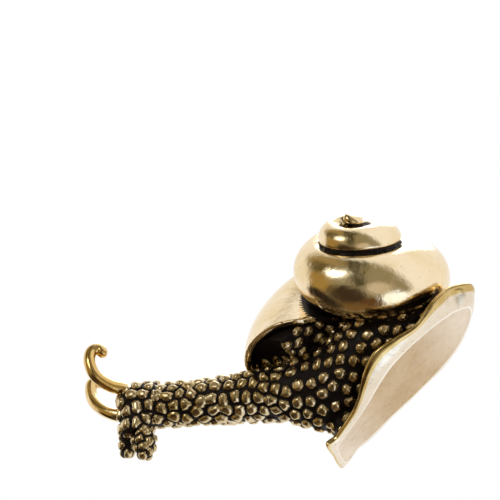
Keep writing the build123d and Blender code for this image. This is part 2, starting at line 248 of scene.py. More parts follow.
# Stations round the foot, tail first along the left side: where the flat sole ends, and the
# rim's crest beside it
foot_stations = [
    ((-13.3, 0.0), (-16.0, 0.6, 2.3)),
    ((-12.0, 2.2), (-13.6, 4.3, 2.8)),
    ((-9.6, 4.3), (-10.4, 7.0, 2.1)),
    ((-6.8, 5.6), (-6.6, 8.0, 1.3)),
    ((-3.8, 6.5), (-3.6, 8.8, 2.0)),
    ((-0.8, 6.7), (-0.7, 9.2, 2.5)),
    ((2.0, 5.8), (2.4, 8.4, 2.1)),
    ((4.8, 4.3), (5.5, 6.0, 1.3)),
    ((7.6, 3.2), (7.8, 4.3, 1.1)),
    ((10.4, 2.5), (11.2, 3.2, 1.1)),
    ((12.0, 2.0), (13.0, 3.4, 1.3)),
    ((12.6, -0.2), (13.4, -0.1, 1.0)),
    ((12.9, -2.6), (13.8, -2.9, 1.0)),
    ((12.6, -4.4), (13.6, -5.4, 1.1)),
    ((10.4, -3.9), (10.9, -4.9, 1.1)),
    ((8.0, -4.6), (8.4, -5.8, 1.1)),
    ((3.8, -5.4), (4.0, -6.9, 1.3)),
    ((-0.8, -6.5), (-0.6, -8.8, 2.4)),
    ((-5.4, -7.0), (-5.6, -9.2, 1.7)),
    ((-9.2, -5.9), (-10.1, -7.6, 2.0)),
    ((-12.4, -2.8), (-14.2, -3.5, 2.6)),
]
foot_steps = 16


def curve_point(before, start, end, after, t):
    """A point between start and end, on a smooth curve that also runs through the points
    before and after them."""
    bend = (2 * before - 5 * start + 4 * end - after) * t**2
    turn = (3 * start - before - 3 * end + after) * t**3
    return 0.5 * (2 * start + (end - before) * t + bend + turn)


def smooth_loop(points, steps):
    """Points on a smooth closed curve through the given ones, a few steps to each."""
    points = np.array(points, float)
    before = np.roll(points, 1, axis=0)
    after = np.roll(points, -1, axis=0)
    later = np.roll(points, -2, axis=0)
    found = [curve_point(before, points, after, later, step / steps) for step in range(steps)]
    return np.stack(found, axis=1).reshape(-1, points.shape[1])


def ring_mesh(name, rows):
    """A mesh through rings of points, with each end closed to a point."""
    rows = np.array(rows)
    count, around = rows.shape[:2]
    points = [tuple(point) for point in rows.reshape(-1, 3)]
    faces = []
    for row in range(count - 1):
        for step in range(around):
            beside = (step + 1) % around
            a, b = row * around + step, row * around + beside
            faces.append((a, b, b + around, a + around))
    tip = len(points)
    points.append(tuple(rows[0].mean(axis=0)))
    faces += [(tip, (step + 1) % around, step) for step in range(around)]
    first = (count - 1) * around
    points.append(tuple(rows[-1].mean(axis=0)))
    faces += [(first + step, first + (step + 1) % around, tip + 1) for step in range(around)]
    mesh = bpy.data.meshes.new(name)
    mesh.from_pydata(points, [], faces)
    return mesh


def face_outward(mesh):
    """Turns every face of a closed mesh outward and shades it smooth."""
    work = bmesh.new()
    work.from_mesh(mesh)
    bmesh.ops.recalc_face_normals(work, faces=work.faces)
    work.to_mesh(mesh)
    work.free()
    mesh.shade_smooth()


def piece(name, mesh):
    """A new object of the figurine, at the origin."""
    made = bpy.data.objects.new(name, mesh)
    bpy.context.collection.objects.link(made)
    return made


def set_attribute(mesh, name, values):
    """One value for each point of a mesh, which its finish reads."""
    made = mesh.attributes.new(name, "FLOAT", "POINT")
    made.data.foreach_set("value", np.array(values, np.float32))


# How closely each kind of mark is set, per metre, and where it starts and is full, or how
# high it stands: clouds of tone, grain, the patina's ragged edge, pits, hammering, dents and
# tool marks
tone_scale = 160
tone_edge = (0.38, 0.66)
grain_scale = 1100
grain_edge = (0.3, 0.75)
grain_smoother = 0.06
grain_rougher = 0.10
ragged_scale = 2600
ragged_span = 0.36
pit_scale = 3400
pit_edge = (0.16, 0.30)
pit_chance_blend = 0.05
pit_dark = 0.75
pit_height = -0.10
hammer_scale = 520
dent_scale = 2300
dent_share = 0.22
mark_scale = 5200
mark_height = 0.05
relief_height = 0.35 * mm
relief_strength = 0.6
patina_colour = (0.016, 0.012, 0.013)
patina_metal_start = 0.3
patina_metal = 0.35
patina_rough = 0.22
plain_sheen = 0.5
patina_sheen = 0.14


def brass_finish(name, pale, deep, rough, hammer, pits, edge, zones=()):
    """Cast brass: cloudy between two golds, softly hammered and finely pitted, and black where
    the piece's own attribute for patina says so, which on the shell also holds painted shade.
    Each zone is an attribute, with the two golds and the change of roughness where it is 1."""
    made = bpy.data.materials.new(name)
    made.use_nodes = True
    tree = made.node_tree
    shader = tree.nodes["Principled BSDF"]
    place = add_node(tree, "ShaderNodeTexCoord", {}).outputs["Object"]

    def cloud(scale, detail):
        inputs = {"Vector": place, "Scale": scale, "Detail": detail}
        return add_node(tree, "ShaderNodeTexNoise", inputs).outputs["Fac"]

    def stored(attribute):
        return add_node(tree, "ShaderNodeAttribute", {}, attribute_name=attribute).outputs["Fac"]

    cloudy = ramp_value(tree, cloud(tone_scale, 3), *tone_edge)
    gold = mixed_colour(tree, cloudy, (*pale, 1), (*deep, 1))
    extra_rough = 0.0
    for zone_name, zone_pale, zone_deep, zone_rough in zones:
        zone = stored(zone_name)
        zone_gold = mixed_colour(tree, cloudy, (*zone_pale, 1), (*zone_deep, 1))
        gold = mixed_colour(tree, zone, gold, zone_gold)
        extra_rough = math_node(tree, "MULTIPLY_ADD", zone, zone_rough, extra_rough)
    ragged = math_node(tree, "MULTIPLY_ADD", cloud(ragged_scale, 4), ragged_span, -ragged_span / 2)
    # the dark mask: patina, and inside the shell's mouth also painted shade
    patina_and_shade = ramp_value(tree, math_node(tree, "ADD", stored("patina_and_shade"), ragged), *edge)
    inputs = {"Vector": place, "Scale": pit_scale, "Randomness": 1.0}
    cells = add_node(tree, "ShaderNodeTexVoronoi", inputs)
    chance = add_node(tree, "ShaderNodeSeparateColor", {0: cells.outputs["Color"]}).outputs[0]
    dot = ramp_value(tree, cells.outputs["Distance"], *pit_edge, 1.0, 0.0)
    picked = ramp_value(tree, chance, 1 - pits, 1 - pits + pit_chance_blend)
    pit = math_node(tree, "MULTIPLY", dot, picked)
    dark = math_node(tree, "MAXIMUM", patina_and_shade, math_node(tree, "MULTIPLY", pit, pit_dark))
    colour = mixed_colour(tree, dark, gold, (*patina_colour, 1))
    tree.links.new(colour, shader.inputs["Base Color"])
    metal = ramp_value(tree, patina_and_shade, patina_metal_start, 1.0, 1.0, patina_metal)
    tree.links.new(metal, shader.inputs["Metallic"])
    grain_range = (rough - grain_smoother, rough + grain_rougher)
    grain = ramp_value(tree, cloud(grain_scale, 5), *grain_edge, *grain_range)
    grain = math_node(tree, "ADD", grain, extra_rough)
    grain = math_node(tree, "MULTIPLY_ADD", patina_and_shade, patina_rough, grain)
    tree.links.new(grain, shader.inputs["Roughness"])
    sheen = ramp_value(tree, patina_and_shade, 0.0, 1.0, plain_sheen, patina_sheen)
    tree.links.new(sheen, shader.inputs["Specular IOR Level"])
    height = math_node(tree, "MULTIPLY", cloud(hammer_scale, 2), hammer)
    height = math_node(tree, "MULTIPLY_ADD", cloud(dent_scale, 2), hammer * dent_share, height)
    height = math_node(tree, "MULTIPLY_ADD", cloud(mark_scale, 3), mark_height, height)
    height = math_node(tree, "MULTIPLY_ADD", pit, pit_height, height)
    inputs = {"Height": height, "Distance": relief_height, "Strength": relief_strength}
    bump = add_node(tree, "ShaderNodeBump", inputs)
    tree.links.new(bump.outputs["Normal"], shader.inputs["Normal"])
    return made


sole_edge = smooth_loop([sole for sole, crest in foot_stations], foot_steps)
crest = smooth_loop([crest for sole, crest in foot_stations], foot_steps) * mm
sole_edge = np.column_stack((sole_edge, np.zeros(len(sole_edge)))) * mm
spine_share = 0.9
sole_spine = sole_edge * np.array((spine_share, 0.0, 0.0))
lift = np.array((0, 0, sheet_thickness))
outward = crest - sole_edge
outward[:, 2] = 0
outward /= np.linalg.norm(outward, axis=1)[:, None]
# the flat sole is a little hollow, so that its edge stands out as a fine ridge: shares of the
# way from its spine to its edge, and how hollow it is there
sole_shares = [
    (0.02, 1.0),
    (0.3, 1.0),
    (0.6, 1.0),
    (0.85, 1.0),
    (0.93, 1.0),
    (0.955, 0.85),
    (0.98, 0.3),
    (0.992, 0.05),
    (0.997, 0.01),
    (0.9993, 0.0),
]
foot_rows = []
for share, hollow in sole_shares:
    risen = np.array((0, 0, hollow * sole_hollow))
    foot_rows.append(sole_spine + (sole_edge - sole_spine) * share + risen)
foot_rows.append(sole_edge)
# the turned-up side, a smooth curve from the sole's crease to the rim
side_steps = 16
knee_shares = (0.62, 0.62, 0.10)
knee = sole_edge + (crest - sole_edge) * np.array(knee_shares)
rim_middle = crest - outward * rim_thickness / 2 - np.array((0, 0, rim_thickness / 2))
rim_outer = rim_middle + outward * rim_thickness / 2
for step in range(1, side_steps + 1):
    t = step / side_steps
    foot_rows.append((1 - t) ** 2 * sole_edge + 2 * t * (1 - t) * knee + t**2 * rim_outer)
# a low ridge runs along the side below the bead, with a dark line between them
ridge_height = 0.13 * mm
ridge_shares = [0.2, 0.7, 1.0, 0.7, -0.4]
for row, share in zip(range(-len(ridge_shares), 0), ridge_shares):
    foot_rows[row] = foot_rows[row] + outward * ridge_height * share
# the rounded bead along the rim
bead_steps = 14
for step in range(1, bead_steps + 1):
    turn = math.pi * step / bead_steps
    swing = outward * math.cos(turn) + np.array((0, 0, math.sin(turn)))
    foot_rows.append(rim_middle + swing * rim_thickness / 2)
# the inner side, down to the dish under the body
dish_edge = sole_edge - outward * sheet_thickness + lift
dish_shares = (0.6, 0.02)
rim_inner = foot_rows[-1]
hollow_shares = (0.1, 0.1, 0.25)
hollow = (rim_inner + dish_edge) / 2 + (dish_edge - rim_inner) * np.array(hollow_shares)
for step in range(1, side_steps + 1):
    t = step / side_steps
    foot_rows.append((1 - t) ** 2 * rim_inner + 2 * t * (1 - t) * hollow + t**2 * dish_edge)
dish_spine = sole_spine + lift
foot_rows += [dish_spine + (dish_edge - dish_spine) * share for share in dish_shares]
foot_mesh = ring_mesh("foot_sheet", foot_rows)
# a soft dent beside the tail, and a slight waver of the hand-cut rim
dent_place = Vector((-12.4, 3.0, 1.4)) * mm
dent_reach = 2.7 * mm
dent_depth = 0.8 * mm
dent_way = Vector((0.5, -0.5, 0.7))
waver = 0.16 * mm
waver_scale = 260
for point in foot_mesh.vertices:
    near = max(0.0, 1 - ((point.co - dent_place).length / dent_reach) ** 2)
    point.co += dent_way * dent_depth * near**2
    risen = min(1.0, point.co.z / sheet_thickness)
    point.co.z += waver * risen * noise(point.co * waver_scale)
face_outward(foot_mesh)
foot_sheet = piece("foot_sheet", foot_mesh)
# where the foot is dark, its rim rubbed bright, its crease rubbed paler and lightened as a painted
# highlight, and its sole left grainy and darkened as painted shade, row by row
around = len(sole_edge)
edge_row = len(sole_shares)
first_bead = edge_row + side_steps + 1
last_bead = first_bead + bead_steps - 1
first_ridge = first_bead - len(ridge_shares)
# rows along the sole's crease, rubbed paler and lightened further as a painted highlight of its ridge
first_crease = edge_row - 3
last_crease = edge_row + 1
line_dark = 0.55
fade_rows = 3
row = np.arange(len(foot_rows))
dark_rows = np.clip((row - last_bead) / fade_rows, 0, 1)
dark_rows[first_bead - 1] = line_dark
rim_rows = (row >= first_ridge) & (row <= last_bead)
shaded_sole_rows = row < first_crease - 1
crease_highlight_rows = (row >= first_crease) & (row <= last_crease)
for name, shares, ends in (
    ("patina_and_shade", dark_rows, (0.0, 1.0)),
    ("rim", rim_rows, (0.0, 0.0)),
    ("sole", shaded_sole_rows, (1.0, 0.0)),
    ("crease", crease_highlight_rows, (0.0, 0.0)),
):
    set_attribute(foot_mesh, name, list(np.repeat(shares, around)) + list(ends))
# the sole is paler towards its two ends
ends_start = 3.5 * mm
ends_full = 11.5 * mm
paler_ends = []
for point, share in zip(foot_mesh.vertices, list(np.repeat(shaded_sole_rows, around)) + [1.0, 0.0]):
    out = (abs(point.co.x) - ends_start) / (ends_full - ends_start)
    paler_ends.append(share * min(1.0, max(0.0, out)))
set_attribute(foot_mesh, "paler_ends", paler_ends)
foot_mesh.materials.append(
    brass_finish(
        "foot_brass",
        pale=(0.86, 0.77, 0.64),
        deep=(0.78, 0.68, 0.54),
        rough=0.26,
        hammer=0.08,
        pits=0.12,
        edge=(0.34, 0.52),
        zones=(
            ("rim", (0.78, 0.60, 0.30), (0.56, 0.39, 0.14), -0.08),
            # painted shade: the sole's tan is darker than the side, standing in for the shaded
            # underside, and its grain is rougher
            ("sole", (0.62, 0.46, 0.28), (0.56, 0.40, 0.22), 0.14),
            ("paler_ends", (0.84, 0.73, 0.60), (0.78, 0.66, 0.53), 0.0),
            # painted highlight: the crease's rubbed brass is made lighter still, for the bright line
            # its ridge catches
            ("crease", (0.97, 0.92, 0.84), (0.93, 0.87, 0.78), -0.06),
        ),
    )
)
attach(foot_sheet, "root")
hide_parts("foot")


# Shell
# The casting's shell: one tapering tube wound to the left round a leaning axis, each turn
# larger by the same factor, with a flared mouth. Polished, with black in the seams.
shell_radius = 17.2 * mm
shell_growth = 1.89
shell_climb = 1.05
tube_share = 0.45
arm_share = 1 - tube_share
mouth_angle = 392.0
flare_share = 0.12
flare_angle = 210.0
shell_wall = 0.95 * mm
shell_top = Vector((-11.3, 9.0, 20.1)) * mm
shell_axis = Vector((-0.49, 0.61, 0.63)).normalized()
shell_start = Vector((0.835, 0.114, 0.538))
shell_start = (shell_start - shell_axis * shell_start.dot(shell_axis)).normalized()
shell_side = shell_axis.cross(shell_start)
mouth_point = Vector((12.9, 0.0, 17.6)) * mm
mouth_face = Vector((0.56, 0.42, -0.71)).normalized()
shell_turns = 3.1
rings_per_turn = 96
ring_points = 72
bore_angle = 55.0
remesh_size = 0.195 * mm
soften_rounds = 6
# The upper whorls lean back from the mouth's stretch and sit higher. Their starts are angles
# back from the mouth.
lean_back = math.radians(-2.0)
lean_axis = shell_axis.cross(back).normalized()
lean_aside = math.radians(-8.0)
lean_depth = 11 * mm
lean_middle = shell_top - shell_axis * lean_depth
lean_lift = up * 1.0 * mm + right * 0.2 * mm
lean_start = 90.0
lean_span = 220.0
# The top whorl is shifted aside, and the last turn comes back from there, drawn in and thinned
# into a nub
top_shift = right * -0.9 * mm
top_shift_start = 540.0
nub_start = 660.0
nub_span = 330.0
nub_thinning = 0.30
nub_draw = 0.72
nub_tip_angle = 40.0
least_tip_share = 0.02


def shell_size(angle):
    """Outer radius of the winding at an angle in degrees."""
    near_mouth = max(0.0, 1 + (angle - mouth_angle) / flare_angle)
    plain = shell_radius * shell_growth ** ((angle - mouth_angle) / 360)
    return plain * (1 + flare_share * near_mouth**2)


def eased(share):
    """A share carried smoothly from 0 to 1 and held at both ends."""
    share = min(1.0, max(0.0, share))
    return share * share * (3 - 2 * share)


def nub_share(angle):
    """How far the tube has become the nub at an angle, from 0 to 1."""
    return eased((mouth_angle - nub_start - angle) / nub_span)


def leaned(point, angle):
    """A point of the winding, leaned back by as much as its whorl asks."""
    share = eased((mouth_angle - lean_start - angle) / lean_span)
    turned = Matrix.Rotation(lean_back * share, 3, lean_axis) @ (point - lean_middle)
    turned = Matrix.Rotation(lean_aside * share, 3, back) @ turned
    aside = eased((mouth_angle - top_shift_start - angle) / nub_span) - nub_share(angle)
    return lean_middle + turned + lean_lift * share + top_shift * aside


def tube_arm(angle):
    """Distance of the tube's middle from the axis, drawn in towards the nub."""
    return shell_size(angle) * arm_share * (1 - nub_draw * nub_share(angle))


def tube_reach(angle):
    """Radius of the tube at an angle round the axis."""
    thinning = nub_thinning * nub_share(angle)
    from_tip = (angle - mouth_angle + 360 * shell_turns) / nub_tip_angle
    from_tip = min(1.0, max(least_tip_share, from_tip))
    rounding = math.sqrt(1 - (1 - from_tip) ** 2)
    return shell_size(angle) * tube_share * (1 - thinning) * rounding


def away_from_axis(angle):
    """The way square to the axis at an angle round it."""
    turn = math.radians(angle)
    return shell_start * math.cos(turn) + shell_side * math.sin(turn)


def tube_middle(angle):
    """Middle of the tube at an angle round the axis."""
    size = shell_size(angle)
    point = shell_top + away_from_axis(angle) * tube_arm(angle) - shell_axis * size * shell_climb
    return leaned(point, angle)


def tube_point(angle, bearing, inset=0.0):
    """Point of the tube's surface: the angle round the axis, the bearing round the tube."""
    size = shell_size(angle)
    reach = tube_reach(angle) - inset
    out = tube_arm(angle) + reach * math.cos(bearing)
    rise = -size * shell_climb + reach * math.sin(bearing)
    return leaned(shell_top + away_from_axis(angle) * out + shell_axis * rise, angle)


slant_before = 80.0
slant_after = 40.0
mouth_overrun = 2.0
halvings = 24


bearings = [2 * math.pi * step / ring_points for step in range(ring_points)]


def slant_ends(inset, point, face):
    """Angles at which the lines along the tube meet a slanted face, one for each bearing."""
    ends = []
    for bearing in bearings:
        low = mouth_angle - slant_before
        high = mouth_angle + slant_after
        for halving in range(halvings):
            angle = (low + high) / 2
            if (tube_point(angle, bearing, inset) - point).dot(face) < 0:
                low = angle
            else:
                high = angle
        ends.append(min(angle, mouth_angle + mouth_overrun))
    return np.array(ends)


def slanted_ring(angles, inset=0.0):
    """Ring of the tube with its own angle round the axis for each bearing."""
    return [tube_point(float(angle), bearing, inset) for angle, bearing in zip(angles, bearings)]


# rings of the tube from its tip to near the mouth, where they slant into its face, and then
# back inside along the bore
settle_angle = mouth_angle - 120.0
first_angle = mouth_angle - 360 * shell_turns
shell_rows = []
angle = first_angle
while angle < settle_angle:
    shell_rows.append([tube_point(angle, bearing) for bearing in bearings])
    angle += 360 / rings_per_turn
mouth_rings = 36
outer_ends = slant_ends(0.0, mouth_point, mouth_face)
inner_ends = slant_ends(shell_wall, mouth_point, mouth_face)
mouth_shares = [ring / mouth_rings for ring in range(mouth_rings + 1)]
for share in mouth_shares:
    shell_rows.append(slanted_ring(settle_angle + (outer_ends - settle_angle) * share))
for share in mouth_shares:
    shell_rows.append(slanted_ring(inner_ends - bore_angle * share, shell_wall))
wound = piece("wound_tube", ring_mesh("wound_tube", shell_rows))
face_outward(wound.data)
remesh = wound.modifiers.new("remesh", "REMESH")
remesh.mode = "VOXEL"
remesh.voxel_size = remesh_size
soften = wound.modifiers.new("soften", "SMOOTH")
soften.factor = 0.5
soften.iterations = soften_rounds


def settled_mesh(source, name):
    """The plain mesh of an object with its modifiers applied. The object is removed."""
    settled = source.evaluated_get(bpy.context.evaluated_depsgraph_get())
    made = bpy.data.meshes.new_from_object(settled)
    made.name = name
    bpy.data.objects.remove(source)
    return made


shell_mesh = settled_mesh(wound, "shell_casting")

# the seams are cut deeper, wider where the whorls are larger
seam_depth_share = 0.09
seam_width_share = 0.14
seam_step = 4.0
seam_finer = 6
seam_bearings = [math.radians(degree) for degree in range(10, 230, 3)]
seam_search = 60.0
seam_start = 300.0
seam_fall = 1.5
whorl_angles = np.arange(first_angle, mouth_angle + mouth_overrun, seam_step)
whorl_middles = np.array([tube_middle(angle) for angle in whorl_angles])
whorl_reaches = np.array([tube_reach(angle) for angle in whorl_angles])


def seam_point(angle):
    """Point where a whorl, followed round from its outside, meets the next smaller one."""
    smaller = abs(whorl_angles - (angle - 360)) < seam_search
    middles = whorl_middles[smaller]
    reaches = whorl_reaches[smaller]
    for bearing in seam_bearings:
        point = tube_point(angle, bearing)
        if (np.linalg.norm(middles - np.array(point), axis=1) < reaches).any():
            return point
    return None


seams = []
for angle in whorl_angles:
    place = seam_point(angle) if angle > first_angle + seam_start else None
    if place is not None:
        seams.append((place, tube_reach(angle - 360) / tube_share))
seam_tree = KDTree(seam_finer * len(seams))
seam_widths = []
for (place, size), (place_beyond, size_beyond) in zip(seams, seams[1:]):
    for step in range(seam_finer):
        seam_tree.insert(place.lerp(place_beyond, step / seam_finer), len(seam_widths))
        seam_widths.append(size)
seam_tree.balance()
# how far each point lies behind the mouth's face and outside the bore near it
far = 10 * mm
bore_stretch = 60.0
bore_step = 2.0
places = np.array([point.co for point in shell_mesh.vertices])
behind_mouth = (np.array(mouth_point) - places) @ np.array(mouth_face)
from_bore = np.full(len(places), far)
for angle in np.arange(mouth_angle - bore_stretch, mouth_angle + mouth_overrun, bore_step):
    bore = tube_reach(angle) - shell_wall
    off = np.linalg.norm(places - np.array(tube_middle(angle)), axis=1)
    from_bore = np.minimum(from_bore, off - bore)

# each point's own whorl
own_angle = np.zeros(len(places))
from_own = np.full(len(places), far)
for angle, middle, reach in zip(whorl_angles, whorl_middles, whorl_reaches):
    off = np.abs(np.linalg.norm(places - middle, axis=1) - reach)
    own_angle = np.where(off < from_own, angle, own_angle)
    from_own = np.minimum(off, from_own)

# the patina stays where two whorls lie close together. It reaches further beside the mouth
# and round the top whorl, and furthest round the nub
crevice_share = 0.058
crevice_share_mouth = 0.30
crevice_share_top = 0.095
crevice_share_nub = 0.50
crevice_angle = 120.0
crevice_top_start = 420.0
crevice_edge = 0.43
crevice_sharpness = 3.0
bead_depth = 0.9 * mm
other_whorl = 180.0
beyond = np.clip((own_angle - mouth_angle + crevice_angle) / crevice_angle, 0, 1)
share = crevice_share + (crevice_share_mouth - crevice_share) * beyond
upper = np.clip((mouth_angle - crevice_top_start - own_angle) / crevice_angle, 0, 1)
share = share + (crevice_share_top - crevice_share) * upper
round_nub = np.where(own_angle > mouth_angle - nub_start - crevice_angle, upper, 0)
inner_share = share + (crevice_share_nub - crevice_share) * round_nub
crevice = np.zeros(len(places))
for step, angle in enumerate(whorl_angles[:-1]):
    start, end = whorl_middles[step], whorl_middles[step + 1]
    reach, reach_end = whorl_reaches[step], whorl_reaches[step + 1]
    along = np.clip((places - start) @ (end - start) / ((end - start) @ (end - start)), 0, 1)
    nearest = start + along[:, None] * (end - start)
    gap = np.linalg.norm(places - nearest, axis=1) - reach - along * (reach_end - reach)
    facing_share = np.where(own_angle > angle, inner_share, share)
    near = 1 - np.maximum(gap, 0) / (facing_share * reach / tube_share)
    near = np.where(np.abs(own_angle - angle) > other_whorl, near, 0)
    crevice = np.maximum(crevice, near)
crevice = np.clip(crevice_edge + (crevice - crevice_edge) * crevice_sharpness, 0, 1)
crevice = np.where(behind_mouth > bead_depth, crevice, 0)

# the inside of the mouth is black up to its rubbed lip, as patina and as painted shade
lip_width = 0.70 * mm
lip_blend = 0.5 * mm
bore_margin = 0.25 * mm
middle_inset = 4 * mm
shell_middle = tube_middle(mouth_angle - 360) - away_from_axis(mouth_angle - 360) * middle_inset
patina_and_shade = []
for point, depth, outside, close in zip(shell_mesh.vertices, behind_mouth, from_bore, crevice):
    place, step, distance = seam_tree.find(point.co)
    size = seam_widths[step]
    near = max(0.0, 1 - distance / (seam_width_share * size))
    # painted shade: the bore behind the lip is made black, as if lying in the deep opening's shade
    inner = eased((depth - lip_width) / lip_blend) if outside < bore_margin else 0.0
    patina_and_shade.append(max(close, inner))
    point.co -= (point.co - shell_middle).normalized() * seam_depth_share * size * near**seam_fall
set_attribute(shell_mesh, "patina_and_shade", patina_and_shade)
face_outward(shell_mesh)
shell_casting = piece("shell_casting", shell_mesh)
shell_mesh.materials.clear()
shell_mesh.materials.append(
    brass_finish(
        "shell_brass",
        pale=(0.92, 0.77, 0.54),
        deep=(0.84, 0.67, 0.40),
        rough=0.14,
        hammer=0.30,
        pits=0.06,
        edge=(0.36, 0.50),
    )
)
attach(shell_casting, "root")
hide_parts("shell")


# Skin of the trunk, neck and head
# The casting's body, blackened all over and rubbed bright on its raised pebbles. They lie
# close on the head and neck, and are rounder and further apart on the trunk.

# Stations of the trunk, in millimetres: place, height, pitch in degrees, half width and depth
trunk_stations = [
    (-12.1, 1.64, 0, 1.02, 0.76),
    (-9.01, 3.40, 10, 4.48, 2.77),
    (-3.50, 5.29, 18, 6.21, 4.66),
    (2.00, 6.55, 28, 6.14, 5.92),
    (7.26, 7.69, 39, 4.86, 5.92),
    (10.01, 9.95, 43, 4.03, 4.60),
    (12.25, 12.60, 45, 3.70, 3.70),
]
# The apron that spreads over the foot: its outline in shares, then each level's height and
# how far it is drawn in from the sole's edge
apron_shares = [
    (-1.0, 0.0),
    (-0.80, 0.50),
    (-0.30, 0.93),
    (0.14, 0.82),
    (0.62, 0.40),
    (0.93, 0.38),
    (1.0, -0.55),
    (0.80, -0.54),
    (0.28, -0.78),
    (-0.42, -1.0),
    (-0.84, -0.75),
]
apron_levels = [(0.9, 1.1), (6.5, 4.1)]
sole_half_length = 13.2
sole_half_width = 7.1
trunk_around = 64
trunk_steps = 8
apron_rings = 8
apron_steps = 8
# The body's mass inside the shell's mouth, which lies deeper towards the lip
mantle_point = mouth_point - mouth_face * 2.2 * mm
mantle_face = (mouth_face - right * 1.1).normalized()
mantle_inset = 1.05 * mm
mantle_angle = 70.0
mantle_steps = 12
neck_root = Vector((12.25, 0.0, 12.6)) * mm
neck_way = Vector((1, 0, 1)).normalized()
neck_length = 16.1 * mm
neck_radii = [(-0.12, 3.5), (0.0, 3.7), (0.35, 3.03), (0.70, 2.83), (1.0, 2.78), (1.12, 2.6)]
neck_steps = 24
neck_around = 48
neck_sag = 0.3 * mm
neck_sag_share = 0.4
neck_swell = 0.15
head_swell = 0.28 * mm
head_shift = right * -0.35 * mm
merge_distance = 0.002 * mm
skin_remesh_size = 0.15 * mm
even_rounds = 8
melt_rounds = 4


def merged_copy(node):
    """A working copy of a CAD node's mesh, its loose triangles joined."""
    work = bmesh.new()
    work.from_mesh(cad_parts[node].data)
    bmesh.ops.remove_doubles(work, verts=work.verts, dist=merge_distance)
    return work


def swell(work, amount, shift):
    """Swells a working copy by an amount and moves it a little."""
    work.normal_update()
    moved = [point.co + point.normal * amount + shift for point in work.verts]
    for point, place in zip(work.verts, moved):
        point.co = place


def tube_rows(path, radii, around):
    """Rings of points along a path, carried without twist."""
    rows = []
    path = [Vector(point) for point in path]
    across = None
    for step, point in enumerate(path):
        before = path[max(step - 1, 0)]
        after = path[min(step + 1, len(path) - 1)]
        along = (after - before).normalized()
        if across is None:
            across = along.orthogonal().normalized()
        across = (across - along * across.dot(along)).normalized()
        beside = along.cross(across)
        ring = []
        for turn_step in range(around):
            turn = 2 * math.pi * turn_step / around
            ring.append(point + (across * math.cos(turn) + beside * math.sin(turn)) * radii[step])
        rows.append(ring)
    return rows


def smooth_path(points, steps):
    """Points on a smooth open curve through the given ones."""
    points = [np.array(point, float) for point in points]
    points = [2 * points[0] - points[1]] + points + [2 * points[-1] - points[-2]]
    found = []
    for before, start, end, after in zip(points, points[1:], points[2:], points[3:]):
        for step in range(steps):
            found.append(curve_point(before, start, end, after, step / steps))
    found.append(points[-2])
    return found


def trunk_rows():
    """Rings of the leaning trunk."""
    rows = []
    for x, z, pitch, wide, deep in smooth_path(trunk_stations, trunk_steps):
        tilt = math.radians(pitch)
        rise_way = np.array((-math.sin(tilt), 0, math.cos(tilt)))
        ring = []
        for step in range(trunk_around):
            turn = 2 * math.pi * step / trunk_around
            beside = np.array((0, math.cos(turn) * wide, 0))
            ring.append((np.array((x, 0, z)) + beside + rise_way * math.sin(turn) * deep) * mm)
        rows.append(ring)
    return rows


def apron_rows():
    """Rings of the apron, from the foot's dish upward."""
    rows = []
    low, high = (np.array(level) for level in apron_levels)
    for share in np.linspace(0, 1, apron_rings):
        height, inset = low + (high - low) * share
        half = np.array((sole_half_length - inset, sole_half_width - inset))
        loop = smooth_loop(np.array(apron_shares) * half, apron_steps)
        rows.append([np.array((x, y, height)) * mm for x, y in loop])
    return rows


def mantle_rows():
    """Rings of the mass inside the shell's mouth."""
    ends = slant_ends(mantle_inset, mantle_point, mantle_face)
    rows = []
    for step in range(mantle_steps + 1):
        back_angle = mantle_angle * (1 - step / mantle_steps)
        rows.append(slanted_ring(ends - back_angle, mantle_inset))
    return rows


def body_core():
    """The smooth body under the pebbles: trunk, apron, mantle, neck and head."""
    shares = np.linspace(neck_radii[0][0], neck_radii[-1][0], neck_steps)
    radii = (np.interp(shares, *zip(*neck_radii)) + neck_swell) * mm
    path = []
    for share in shares:
        sag = up * -neck_sag * eased(share / neck_sag_share)
        path.append(neck_root + neck_way * share * neck_length + sag)
    core = merged_copy("head")
    swell(core, head_swell, head_shift)
    neck_rows = tube_rows(path, radii, neck_around)
    for rows in (neck_rows, trunk_rows(), apron_rows(), mantle_rows()):
        part = ring_mesh("core_part", rows)
        face_outward(part)
        core.from_mesh(part)
    mesh = bpy.data.meshes.new("body_core")
    core.to_mesh(mesh)
    core.free()
    face_outward(mesh)
    return mesh


pebble_groups = 7
seed_density = 45.0
wander_scale = 900.0
socket_kinds = {float: "NodeSocketFloat", int: "NodeSocketInt", Vector: "NodeSocketVector"}


